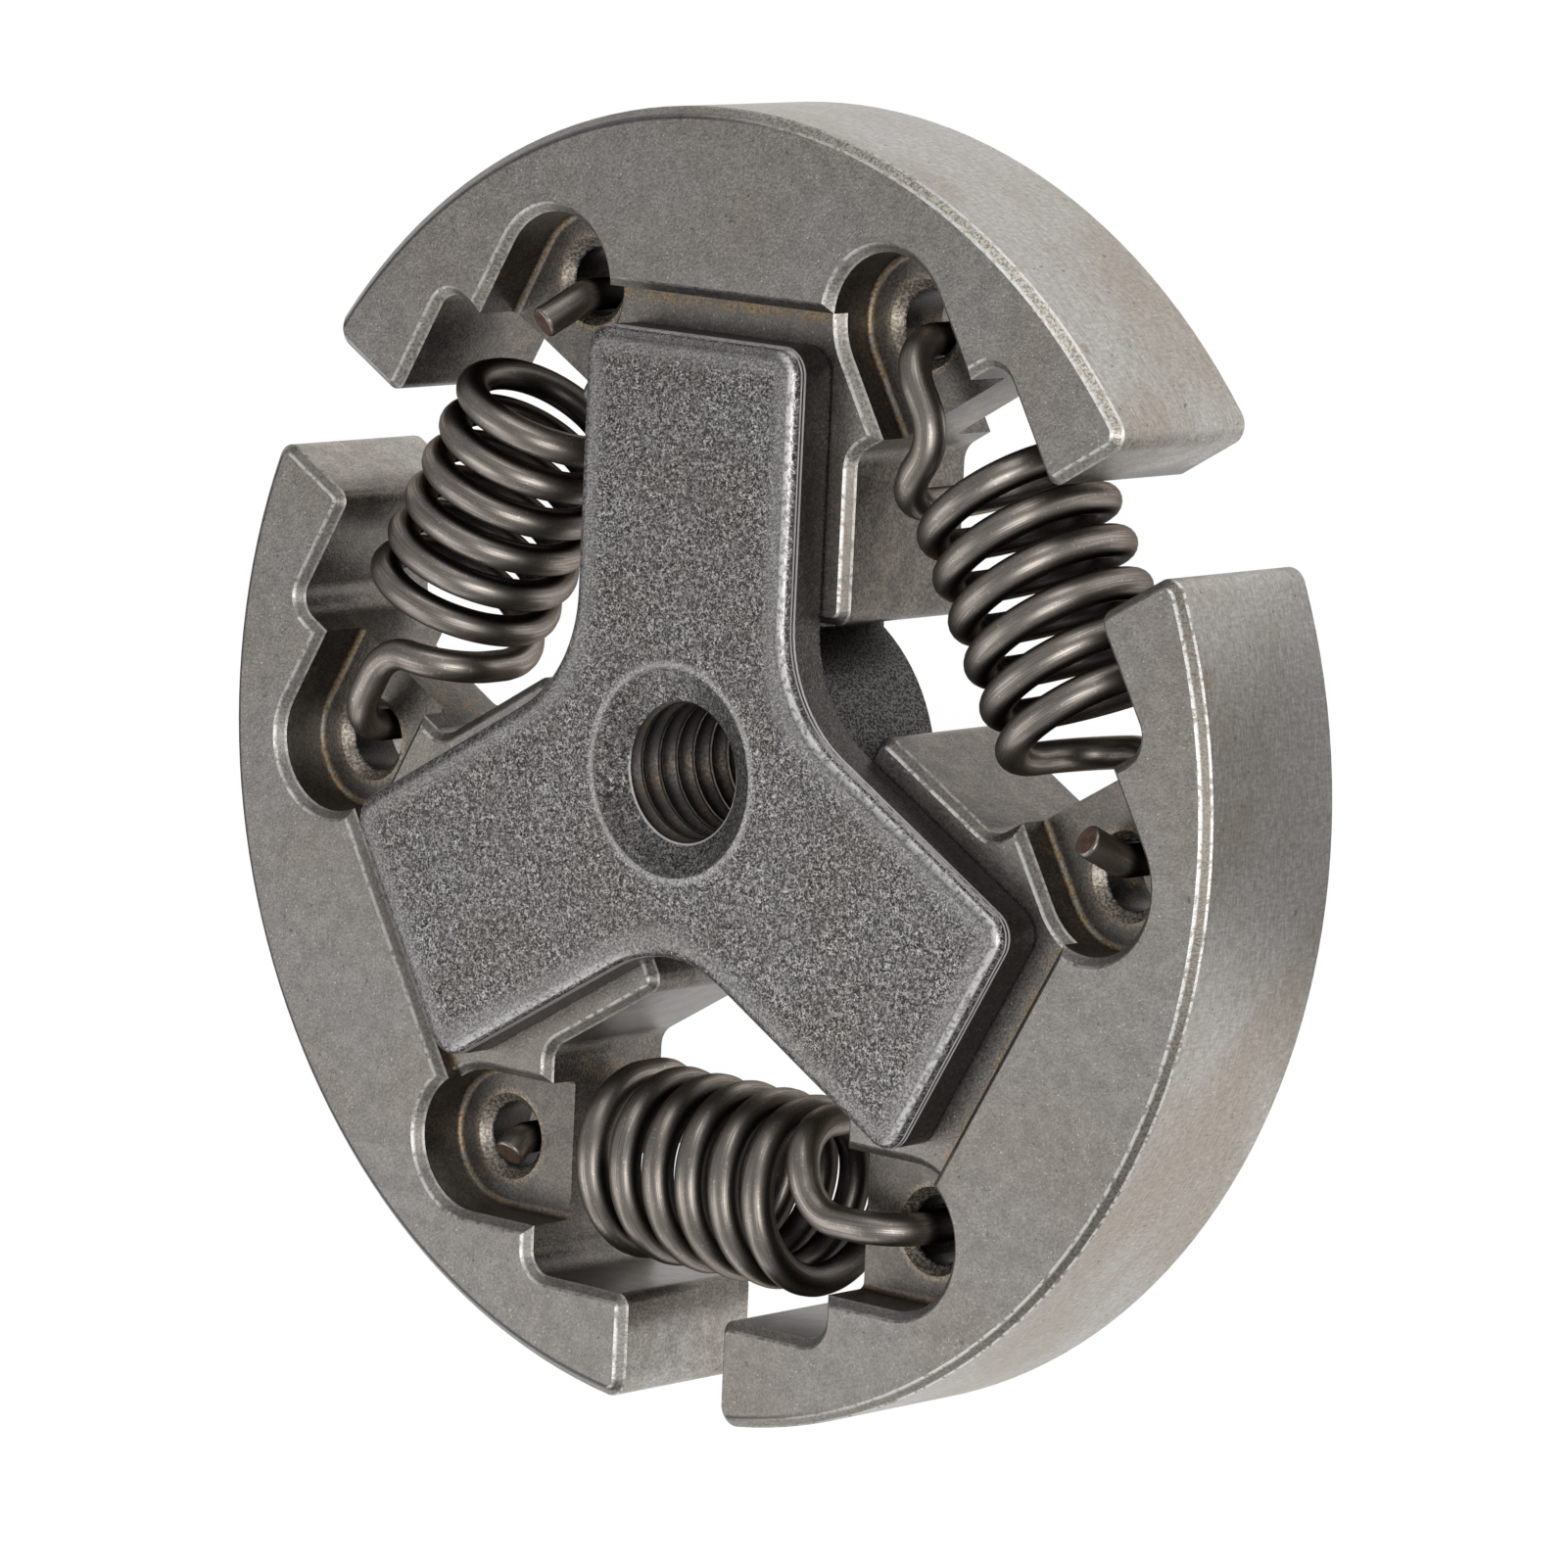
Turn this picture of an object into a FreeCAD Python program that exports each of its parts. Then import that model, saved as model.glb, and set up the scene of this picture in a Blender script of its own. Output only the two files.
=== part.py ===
import FreeCAD, Part
import math
import os

# Centrifugal clutch of a chainsaw, in millimetres. The rotation axis is Z and the front, with
# the flat three-armed plate, faces up. The origin lies on the axis, in the plane of the shoes'
# back faces, so the clutch stands on its three shoes.

# Driving sizes of the shoes
OUTER_RADIUS = 32.65
SHOE_THICKNESS = OUTER_RADIUS / 3.3
SHOE_ANGLES = {"shoe_1": 90.0, "shoe_2": 330.0, "shoe_3": 210.0}
END_GAP = OUTER_RADIUS / 5
TIP_DEPTH = 0.171 * OUTER_RADIUS
EDGE_CHAMFER = 0.5
TIP_INNER_ROUND = 0.7
TIP_OUTER_ROUND = 1.0
INSIDE_ROUND = 1.2
CHEEK_END_ROUND = 0.8
POCKET_FLOOR_ROUND = 0.35

# Driving sizes of the springs: one coil between each two shoes, a hook at each end
SPRING_ANGLES = {"spring_1": 30.0, "spring_2": 270.0, "spring_3": 150.0}
WIRE_RADIUS = 0.82
COIL_PITCH = 0.0687 * OUTER_RADIUS
COIL_TURNS = 6
COIL_RAISE = 0.2
RISE_STRAIGHT = 0.9
RISE_BEND_SIDEWAYS = 22.0
LEG_UNDER_CREST = 0.38
HOOK_BEND = 2.6
STUB_BEND = 1.5
STUB_BEND_BELOW_WEB = 0.5
TAIL_BEYOND_WEB = 0.6
# Bent end that stands out of the front of its hole: length beyond the web, lean from upright, and
# where it leans to, both in degrees: 0 leans to the coil and 90 leans away from the clutch's axis
STUBS = {"spring_1": (2.3, 33.0, 0.0), "spring_2": (1.1, 40.0, 90.0), "spring_3": (2.8, 36.0, 0.0)}

# Driving sizes of the spider: plate with three arms, hub behind it, and a stem behind each arm
ARM_TIP_ROUND = 1.4
ARM_ROOT_ROUND = 7.1
PLATE_PROUD = 1.7
PLATE_EDGE_ROUND = 0.72
LEDGE_DEPTH = 1.0
HUB_RECESS = 1.3
HUB_CHAMFER = 0.4
THREAD_RADIUS = 4.0
FRONT_SINK = 1.2
FRONT_SINK_SLOPE = 30.0
BACK_SINK = 0.5

# Room between the pieces
COIL_ROOM_OUTSIDE = 1.0
COIL_ROOM_BACK = 0.15
COIL_ROOM_AT_ENDS = 2.46
PLATE_CLEARANCE = 0.1
STEM_SIDE_CLEARANCE = 0.1
STEM_TIP_CLEARANCE = 0.1
HUB_CLEARANCE = 0.6
HOOK_CLEARANCE = 0.1
HOOK_PLAY = 0.88
HOOK_SINK = 0.52

# Walls and steps of the shoes and the spider
POCKET_DEPTH = 3.1
POCKET_ROOM = 0.0851 * OUTER_RADIUS
WEB_RUN = 4.4
CHEEK_TO_POCKET = 1.85
CHEEK_BESIDE_ARM = 1.45
STEM_UNDER_ARM = 2.6
STEP_BEYOND_HOLE = 0.28
STEP_TO_ARM = 1.7
ARM_OVER_STEM = 1.4
HUB_UNDER_ROOT = 0.6

# The spring's coil, its window between two shoes, and its hooks, from the gap's middle line
COS30 = math.cos(math.radians(30.0))
SIN30 = math.sin(math.radians(30.0))
MIDDLE = SHOE_THICKNESS / 2
COIL_RADIUS = MIDDLE + COIL_RAISE - WIRE_RADIUS - COIL_ROOM_BACK
COIL_END = COIL_PITCH * COIL_TURNS / 2
LEG_LIFT = COIL_RADIUS - LEG_UNDER_CREST
RISE_BEND = LEG_LIFT - RISE_STRAIGHT
SIDEWAYS = math.radians(RISE_BEND_SIDEWAYS)
LEG_BEND = (COIL_RADIUS - RISE_BEND * math.cos(SIDEWAYS)) / (1 - math.sin(SIDEWAYS))
WINDOW_OUTER = OUTER_RADIUS - TIP_DEPTH
WINDOW_HALF = COIL_END + WIRE_RADIUS + COIL_ROOM_AT_ENDS
HOOK_ALONG = WINDOW_OUTER - COIL_ROOM_OUTSIDE - COIL_RADIUS - WIRE_RADIUS
HOOK_OFF = WINDOW_HALF + WEB_RUN
HOOK_HOLE_RADIUS = WIRE_RADIUS + HOOK_PLAY
HOOK_SEAT = HOOK_OFF - HOOK_PLAY + HOOK_CLEARANCE
POCKET_RADIUS = WIRE_RADIUS + POCKET_ROOM
WEB_HALF = MIDDLE - POCKET_DEPTH

# The upright shoe and its arm
CHEEK_CORNER = HOOK_ALONG - POCKET_RADIUS - CHEEK_TO_POCKET
CHEEK_OUTER_X = CHEEK_CORNER * COS30 - WINDOW_HALF * SIN30
STEP_Y = HOOK_ALONG * SIN30 + HOOK_OFF * COS30 + STEP_BEYOND_HOLE
ARM_HALF = CHEEK_OUTER_X - CHEEK_BESIDE_ARM
ARM_TIP_Y = STEP_Y - STEP_TO_ARM
STEM_HALF = ARM_HALF - STEM_UNDER_ARM
STEM_TIP_Y = ARM_TIP_Y - ARM_OVER_STEM
SLOT_HALF = STEM_HALF + STEM_SIDE_CLEARANCE
SLOT_END_Y = STEM_TIP_Y + STEM_TIP_CLEARANCE
ARM_ROOT = ARM_HALF / COS30
HUB_RADIUS = ARM_ROOT + ARM_ROOT_ROUND * (1 / COS30 - 1) - HUB_UNDER_ROOT
CHEEK_END_Y = math.sqrt((HUB_RADIUS + HUB_CLEARANCE) ** 2 - SLOT_HALF ** 2)
LEDGE_Z = SHOE_THICKNESS - LEDGE_DEPTH
PLATE_BACK = LEDGE_Z + PLATE_CLEARANCE
PLATE_FRONT = SHOE_THICKNESS + PLATE_PROUD

TALL = 3 * SHOE_THICKNESS
FAR = 2 * OUTER_RADIUS
UP = FreeCAD.Vector(0, 0, 1)
CENTRE = FreeCAD.Vector(0, 0, 0)


def point(x, y, z=0.0):
    return FreeCAD.Vector(x, y, z)


def in_gap(along, off, z=0.0):
    """A point beside the gap on the right of the upright shoe: along its middle line, and off it."""
    return point(along * COS30 - off * SIN30, along * SIN30 + off * COS30, z)


def rounded_outline(corners):
    """A closed face from corners (point, radius); radius 0 keeps the corner sharp."""
    count = len(corners)
    entry = []
    leave = []
    middle = []
    for i, (here, radius) in enumerate(corners):
        before = corners[i - 1][0] - here
        after = corners[(i + 1) % count][0] - here
        before.normalize()
        after.normalize()
        half = before.getAngle(after) / 2
        reach = radius / math.tan(half)
        inward = before + after
        entry.append(here + before * reach)
        leave.append(here + after * reach)
        if radius:
            inward.normalize()
            middle.append(here + inward * (radius / math.sin(half) - radius))
        else:
            middle.append(here)
    edges = []
    for i in range(count):
        if corners[i][1]:
            edges.append(Part.Arc(entry[i], middle[i], leave[i]).toShape())
        edges.append(Part.makeLine(leave[i], entry[(i + 1) % count]))
    return Part.Face(Part.Wire(edges))


def mirrored(shape):
    return shape.mirror(CENTRE, point(1, 0, 0))


def turned(shape, degrees):
    copy = shape.copy()
    copy.rotate(CENTRE, UP, degrees)
    return copy


def flat_edges(shape, z):
    """All edges that lie in the plane at height z."""
    found = []
    for edge in shape.Edges:
        box = edge.BoundBox
        if abs(box.ZMin - z) < 1e-4 and abs(box.ZMax - z) < 1e-4:
            found.append(edge)
    return found


def hook_pocket(z_from, z_to, floor_z):
    """Space for a hook on the right end: a round end about the hole, open to the window."""
    height = z_to - z_from
    end = Part.makeCylinder(POCKET_RADIUS, height, in_gap(HOOK_ALONG, HOOK_OFF, z_from))
    low = HOOK_ALONG - POCKET_RADIUS
    high = HOOK_ALONG + POCKET_RADIUS
    near = WINDOW_HALF - 2.0
    ring = [in_gap(low, near), in_gap(high, near), in_gap(high, HOOK_OFF), in_gap(low, HOOK_OFF)]
    run = rounded_outline([(p, 0) for p in ring]).extrude(UP * height)
    run.translate(UP * z_from)
    pocket = end.fuse(run).removeSplitter()
    floor = []
    for edge in flat_edges(pocket, floor_z):
        spot = edge.CenterOfMass
        if spot.y * COS30 - spot.x * SIN30 > near + 0.1:
            floor.append(edge)
    return pocket.makeFillet(POCKET_FLOOR_ROUND, floor)


def hook_hole():
    hole = Part.makeCylinder(HOOK_HOLE_RADIUS, TALL, in_gap(HOOK_ALONG, HOOK_OFF, -SHOE_THICKNESS))
    mouth = HOOK_HOLE_RADIUS + HOOK_SINK
    front = Part.makeCone(HOOK_HOLE_RADIUS, mouth, HOOK_SINK,
                          in_gap(HOOK_ALONG, HOOK_OFF, MIDDLE + WEB_HALF - HOOK_SINK))
    back = Part.makeCone(mouth, HOOK_HOLE_RADIUS, HOOK_SINK,
                         in_gap(HOOK_ALONG, HOOK_OFF, MIDDLE - WEB_HALF))
    return hole.fuse([front, back])


def make_shoe():
    """The upright shoe; its arm points along +Y."""
    half_gap = END_GAP / 2
    right = [
        (point(SLOT_HALF, SLOT_END_Y), 0),
        (point(SLOT_HALF, CHEEK_END_Y), 0),
        (point(CHEEK_OUTER_X, CHEEK_END_Y), CHEEK_END_ROUND),
        (in_gap(CHEEK_CORNER, WINDOW_HALF), INSIDE_ROUND),
        (in_gap(WINDOW_OUTER, WINDOW_HALF), INSIDE_ROUND),
        (in_gap(WINDOW_OUTER, half_gap), TIP_INNER_ROUND),
        (in_gap(FAR, half_gap), 0),
    ]
    left = [(point(-p.x, p.y), r) for p, r in reversed(right)]
    solid = rounded_outline(right + left).extrude(UP * SHOE_THICKNESS)
    solid = solid.common(Part.makeCylinder(OUTER_RADIUS, SHOE_THICKNESS))
    corners = []
    for edge in solid.Edges:
        box = edge.BoundBox
        upright = box.ZLength > SHOE_THICKNESS - 1e-4 and box.XLength < 1e-4
        if upright and math.hypot(box.XMin, box.YMin) > OUTER_RADIUS - 1e-3:
            corners.append(edge)
    solid = solid.makeFillet(TIP_OUTER_ROUND, corners)
    reach = in_gap(HOOK_ALONG, HOOK_OFF).x
    tools = [Part.makeBox(2 * reach, STEP_Y, LEDGE_DEPTH, point(-reach, 0, LEDGE_Z))]
    back_floor = POCKET_DEPTH
    front_floor = SHOE_THICKNESS - POCKET_DEPTH
    back_pocket = hook_pocket(-1.0, back_floor, back_floor)
    front_pocket = hook_pocket(front_floor, SHOE_THICKNESS + 1.0, front_floor)
    for pocket in (back_pocket, front_pocket):
        tools += [pocket, mirrored(pocket)]
    solid = solid.cut(tools).removeSplitter()
    edges = flat_edges(solid, SHOE_THICKNESS) + flat_edges(solid, 0.0)
    for edge in flat_edges(solid, LEDGE_Z):
        spot = edge.CenterOfMass
        if spot.y < STEP_Y - 0.2 and abs(spot.x) > SLOT_HALF + 0.2:
            edges.append(edge)
    solid = solid.makeChamfer(EDGE_CHAMFER, edges)
    hole = hook_hole()
    return solid.cut([hole, mirrored(hole)])


def make_spider():
    corners = []
    for angle in sorted(SHOE_ANGLES.values()):
        turn = FreeCAD.Rotation(UP, angle - 90.0)
        corners.append((turn.multVec(point(ARM_HALF, ARM_TIP_Y)), ARM_TIP_ROUND))
        corners.append((turn.multVec(point(-ARM_HALF, ARM_TIP_Y)), ARM_TIP_ROUND))
        root = math.radians(angle + 60.0)
        corners.append((point(ARM_ROOT * math.cos(root), ARM_ROOT * math.sin(root)), ARM_ROOT_ROUND))
    plate = rounded_outline(corners).extrude(UP * (PLATE_FRONT - PLATE_BACK))
    plate.translate(UP * PLATE_BACK)
    plate = plate.makeFillet(PLATE_EDGE_ROUND, flat_edges(plate, PLATE_FRONT))
    hub = Part.makeCylinder(HUB_RADIUS, PLATE_BACK - HUB_RECESS, point(0, 0, HUB_RECESS))
    hub = hub.makeChamfer(HUB_CHAMFER, flat_edges(hub, HUB_RECESS))
    pieces = [hub]
    for angle in SHOE_ANGLES.values():
        stem = Part.makeBox(2 * STEM_HALF, STEM_TIP_Y, PLATE_BACK - HUB_RECESS,
                            point(-STEM_HALF, 0, HUB_RECESS))
        pieces.append(turned(stem, angle - 90.0))
    solid = plate.fuse(pieces).removeSplitter()
    bore = Part.makeCylinder(THREAD_RADIUS, TALL, point(0, 0, -SHOE_THICKNESS))
    sink_depth = FRONT_SINK * math.tan(math.radians(FRONT_SINK_SLOPE))
    front = Part.makeCone(THREAD_RADIUS, THREAD_RADIUS + FRONT_SINK, sink_depth,
                          point(0, 0, PLATE_FRONT - sink_depth))
    back = Part.makeCone(THREAD_RADIUS + BACK_SINK, THREAD_RADIUS, BACK_SINK, point(0, 0, HUB_RECESS))
    return solid.cut([bore, front, back])


class WireBender:
    """Bends a wire as a machine does: straight runs and round bends, each tangent to the last."""

    def __init__(self, start, heading):
        self.at = start
        self.heading = heading
        self.edges = []

    def straight(self, length):
        end = self.at + self.heading * length
        self.edges.append(Part.makeLine(self.at, end))
        self.at = end

    def bend(self, radius, toward, degrees):
        turn = math.radians(degrees)
        steps = []
        for t in (turn / 2, turn):
            steps.append(self.at + (self.heading * math.sin(t) + toward * (1 - math.cos(t))) * radius)
        self.edges.append(Part.Arc(self.at, steps[0], steps[1]).toShape())
        self.heading = self.heading * math.cos(turn) + toward * math.sin(turn)
        self.at = steps[1]


def hook_edges(web_below, beyond_web, lean, lean_to):
    """From the coil's end on +Y to the tip; x outward, y toward the hook, z up from the coil's axis.

    web_below is how far the far side of the shoe's web lies below the axis.
    """
    wire = WireBender(point(HOOK_ALONG - COIL_RADIUS, COIL_END), point(0, 0, 1))
    wire.straight(LEG_LIFT - RISE_BEND)
    wire.bend(RISE_BEND, point(math.cos(SIDEWAYS), math.sin(SIDEWAYS)), 90.0)
    wire.bend(LEG_BEND, point(-math.sin(SIDEWAYS), math.cos(SIDEWAYS)), 90.0 - RISE_BEND_SIDEWAYS)
    wire.straight(HOOK_SEAT - HOOK_BEND - wire.at.y)
    wire.bend(HOOK_BEND, point(0, 0, -1), 90.0)
    if lean:
        wire.straight(wire.at.z + web_below - STUB_BEND_BELOW_WEB)
        way = math.radians(lean_to)
        wire.bend(STUB_BEND, point(math.sin(way), -math.cos(way)), lean)
        wire.straight(beyond_web + STUB_BEND_BELOW_WEB - STUB_BEND * math.radians(lean))
    else:
        wire.straight(wire.at.z + web_below + beyond_web)
    return wire.edges


def coil_edges():
    """Half turns from -Y to +Y, each a half circle, so that they run on from one to the next."""
    edges = []
    rise = COIL_PITCH / 2
    y = -COIL_END
    side = -1
    for i in range(2 * COIL_TURNS):
        start = point(HOOK_ALONG + side * COIL_RADIUS, y)
        end = point(HOOK_ALONG - side * COIL_RADIUS, y + rise)
        crest = (start + end) / 2 + point(0, 0, -side) * (start.distanceToPoint(end) / 2)
        edges.append(Part.Arc(start, crest, end).toShape())
        y += rise
        side = -side
    return edges


def make_spring(stub, lean, lean_to):
    """The spring of the gap on the +X axis: coil along Y, front hook at +Y, back hook at -Y."""
    front = hook_edges(WEB_HALF + COIL_RAISE, TAIL_BEYOND_WEB, 0.0, 0.0)
    back = hook_edges(WEB_HALF - COIL_RAISE, stub, lean, lean_to)
    for edge in back:
        edge.rotate(CENTRE, point(1, 0, 0), 180.0)
    spine = Part.Wire(Part.__sortEdges__(back + coil_edges() + front))
    tip = front[-1]
    start = tip.valueAt(tip.LastParameter)
    section = Part.Wire(Part.Circle(start, tip.tangentAt(tip.LastParameter), WIRE_RADIUS).toShape())
    wire = spine.makePipeShell([section], True, False)
    wire.translate(UP * (MIDDLE + COIL_RAISE))
    return wire


os.makedirs("parts", exist_ok=True)
make_spider().exportStep("parts/spider.step")
shoe = make_shoe()
for name, angle in SHOE_ANGLES.items():
    turned(shoe, angle - 90.0).exportStep("parts/" + name + ".step")
for name, angle in SPRING_ANGLES.items():
    turned(make_spring(*STUBS[name]), angle).exportStep("parts/" + name + ".step")
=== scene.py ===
import math

import bmesh
import bpy
from mathutils import Euler, Matrix, Vector


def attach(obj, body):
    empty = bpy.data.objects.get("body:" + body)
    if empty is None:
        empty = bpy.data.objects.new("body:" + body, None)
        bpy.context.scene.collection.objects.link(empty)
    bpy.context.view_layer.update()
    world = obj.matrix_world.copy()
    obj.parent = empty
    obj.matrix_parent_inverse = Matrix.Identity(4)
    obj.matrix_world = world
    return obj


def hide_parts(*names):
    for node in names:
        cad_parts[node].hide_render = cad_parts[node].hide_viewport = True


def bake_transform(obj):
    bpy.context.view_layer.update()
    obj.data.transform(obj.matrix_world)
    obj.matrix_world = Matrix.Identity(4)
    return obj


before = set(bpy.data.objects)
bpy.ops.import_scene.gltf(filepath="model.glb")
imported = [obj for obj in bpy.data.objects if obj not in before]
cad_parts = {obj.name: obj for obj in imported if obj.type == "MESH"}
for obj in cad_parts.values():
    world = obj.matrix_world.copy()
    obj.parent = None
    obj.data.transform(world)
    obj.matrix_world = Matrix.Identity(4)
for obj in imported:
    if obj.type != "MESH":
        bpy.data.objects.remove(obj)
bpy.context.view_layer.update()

MM = 0.001
SIN30 = math.sin(math.radians(30.0))
COS30 = math.cos(math.radians(30.0))

# Sizes shared with the part's source, in millimetres and degrees
OUTER_RADIUS = 32.65
SHOE_THICKNESS = OUTER_RADIUS / 3.3
TIP_DEPTH = 0.171 * OUTER_RADIUS
EDGE_CHAMFER = 0.5
LEDGE_DEPTH = 1.0
POCKET_DEPTH = 3.1
POCKET_ROOM = 0.0851 * OUTER_RADIUS
WEB_RUN = 4.4
CHEEK_TO_POCKET = 1.85
CHEEK_BESIDE_ARM = 1.45
STEP_BEYOND_HOLE = 0.28
STEP_TO_ARM = 1.7
WIRE_RADIUS = 0.82
COIL_PITCH = 0.0687 * OUTER_RADIUS
COIL_TURNS = 6
COIL_RAISE = 0.2
COIL_ROOM_OUTSIDE = 1.0
COIL_ROOM_BACK = 0.15
COIL_ROOM_AT_ENDS = 2.46
RISE_STRAIGHT = 0.9
RISE_BEND_SIDEWAYS = 22.0
LEG_UNDER_CREST = 0.38
HOOK_BEND = 2.6
HOOK_PLAY = 0.88
HOOK_CLEARANCE = 0.1
HOOK_SINK = 0.52
STUB_BEND = 1.5
STUB_BEND_BELOW_WEB = 0.5
TAIL_BEYOND_WEB = 0.6
PLATE_PROUD = 1.7
PLATE_EDGE_ROUND = 0.72
HUB_RECESS = 1.3
THREAD_RADIUS = 4.0
FRONT_SINK = 1.2
FRONT_SINK_SLOPE = 30.0
BACK_SINK = 0.5
ARM_ANGLES = (90.0, 210.0, 330.0)
GAP_ANGLES = (30.0, 150.0, 270.0)
# Each spring: angle of its gap, shoe at its front hook, shoe at its back hook, and its bent stub:
# length beyond the web, lean in degrees, and where it leans to (0 the coil, 90 away from the axis)
SPRINGS = {
    "spring_1": (30.0, "shoe_1", "shoe_2", (2.3, 33.0, 0.0)),
    "spring_2": (270.0, "shoe_2", "shoe_3", (1.1, 40.0, 90.0)),
    "spring_3": (150.0, "shoe_3", "shoe_1", (2.8, 36.0, 0.0)),
}

# Sizes worked out from those, as the part's source does
MIDDLE = SHOE_THICKNESS / 2
LEDGE_Z = SHOE_THICKNESS - LEDGE_DEPTH
WEB_BACK = POCKET_DEPTH
WEB_FRONT = SHOE_THICKNESS - POCKET_DEPTH
COIL_HEIGHT = MIDDLE + COIL_RAISE
COIL_RADIUS = COIL_HEIGHT - WIRE_RADIUS - COIL_ROOM_BACK
COIL_END = COIL_PITCH * COIL_TURNS / 2
LEG_LIFT = COIL_RADIUS - LEG_UNDER_CREST
RISE_BEND = LEG_LIFT - RISE_STRAIGHT
SIDEWAYS = math.radians(RISE_BEND_SIDEWAYS)
LEG_BEND = (COIL_RADIUS - RISE_BEND * math.cos(SIDEWAYS)) / (1 - math.sin(SIDEWAYS))
WINDOW_HALF = COIL_END + WIRE_RADIUS + COIL_ROOM_AT_ENDS
HOOK_ALONG = OUTER_RADIUS - TIP_DEPTH - COIL_ROOM_OUTSIDE - COIL_RADIUS - WIRE_RADIUS
HOOK_OFF = WINDOW_HALF + WEB_RUN
HOOK_SEAT = HOOK_OFF - HOOK_PLAY + HOOK_CLEARANCE
HOOK_HOLE_RADIUS = WIRE_RADIUS + HOOK_PLAY
CHEEK_CORNER = HOOK_ALONG - WIRE_RADIUS - POCKET_ROOM - CHEEK_TO_POCKET
STEP_Y = HOOK_ALONG * SIN30 + HOOK_OFF * COS30 + STEP_BEYOND_HOLE
ARM_HALF = CHEEK_CORNER * COS30 - WINDOW_HALF * SIN30 - CHEEK_BESIDE_ARM
ARM_TIP_Y = STEP_Y - STEP_TO_ARM
PLATE_FRONT = SHOE_THICKNESS + PLATE_PROUD
PLATE_ROUND_FOOT = PLATE_FRONT - PLATE_EDGE_ROUND
SINK_RADIUS = THREAD_RADIUS + FRONT_SINK
SINK_RISE = math.tan(math.radians(FRONT_SINK_SLOPE))

# Mesh of the wire, in millimetres: a cut end's border is rounded, with a ring at a share of the round
RING_STEP = 0.22
RING_SIDES = 20
CUT_ROUND = 0.12
CUT_RING_SHARE = 0.3

# Painted shade of the wire in a hook hole, in millimetres: its start above the web, and its run to full
# shade
SUNK_ABOVE_WEB = 1.0
SUNK_FADE = 1.4

# Mesh of the thread, in millimetres: the crest and the flank are shares of half a pitch
THREAD_PITCH = 1.25
THREAD_CREST = 3.38
THREAD_ROOT = 3.93
CREST_SHARE = 0.14
FLANK_SHARE = 0.70
MOUTH_RADIUS = 3.54
SLEEVE_WALL = 3.98
THREAD_STEPS = 96
THREAD_ROW = 0.05
LIP_INSIDE = 0.05
FUNNEL_PROUD = 0.015
FUNNEL_WALL = 0.1
FUNNEL_ROWS = 24

# Where the looks change, in millimetres, as two limits: places where the name ends in RADII, X, Y or
# Z, and otherwise counted from the size that they are used with
RIM_SKIN = (-0.45, -0.15)
INSIDE_RADII = (28.0, 29.4)
END_RADII = (28.4, 29.6)
CREEP_RADII = (19.0, 25.0)
BORE_RADII = (6.0, 6.5)
TOP_SHOE_Y = (13.0, 19.0)
TOP_LEDGE_Y = (19.0, 22.0)
LOW_MOUTH_Y = (-1.0, 1.5)
PLATE_BACK_Z = (9.0, 9.2)
LEDGE_FACE = (-0.1, 0.1)
POCKET_FLOOR = (-0.6, 0.3)
POCKET_FOOT = (0.02, 0.40)
CREEP_HEIGHT = (0.6, 1.2)
HOLE_WALL = (0.02, 0.10)
HOLE_RING = (0.05, HOOK_SINK + 0.25)
HOLE_MOUTH = (-0.6, -0.03)
STEP_FOOT = (-0.55, 0.03)
STEP_FOOT_HEIGHT = (-0.1, 0.35)
BEVEL_FOOT = (-0.2, -0.1)
BEVEL_TOP_LINE = (-0.12, 0.05)
BEVEL_LOW_LINE = (-0.05, 0.09)
OUTER_BEVEL = (-1.0, -0.6)
LEDGE_BEVEL = (0.05, 0.15)
SHADED_LINE = (-0.14, 0.12)
SHADED_HEIGHT = (-0.3, -0.2)
PLATE_MARGIN = (0.8, 1.8)
CREST_LINE = (-0.22, -0.02)
ROUND_LINES = ((-0.08, 0.05), (0.15, 0.23))
TOP_ROUND_LINE = (-0.10, 0.36)
SINK_LIP = (0.05, 0.30)
SINK_LIP_HEIGHT = (-0.3, -0.1)
MOUTH_EDGE = (0.06, 0.14)
MOUTH_EDGE_HEIGHT = (-1.3, -1.1)

# Other lengths of the looks, in millimetres: the run in which two arms merge, and how much of the
# thread's flank keeps one colour at its crest and at its root
ARMS_MERGE = 4.5
FLANK_INSET = 0.08

# How far a surface looks some way, as two limits of a cosine
FLAT_LEVELS = (0.95, 0.99)
WALL_LEVELS = (0.25, 0.45)
PLATE_WALL_LEVELS = (0.20, 0.45)
RING_LEVELS = (0.3, 0.5)
TOP_EDGE_LEVELS = (0.55, 0.80)
WEAR_AND_LIGHT_LEVELS = (-0.10, 0.45)
# Edges that look this way, to the lit side, are painted bright: rubbing and painted highlight
WEAR_AND_LIGHT_TOWARD = (0.95, 0.1, 0.0)

# Draw lines of the wire: how fine they are round it and along it
DRAW_ROUND = 12.0
DRAW_ALONG = 0.35

# Floor, in metres: it stays below the shoes, so that no two faces share a plane
FLOOR_SIZE = 6.0
FLOOR_BELOW = 0.05 * MM
# Share of the floor that is plain white to the camera, and the strength of that white
FLOOR_SEEN_WHITE = 0.94
FLOOR_WHITE = 1.05
# Part of the floor whose mirror image is dimmer, in millimetres
DIM_X = (18.0, 36.0)
DIM_MIDDLE_Y = 2.0
DIM_HALF_Y = (5.0, 17.0)
DIM_SHARE = 0.62

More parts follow.
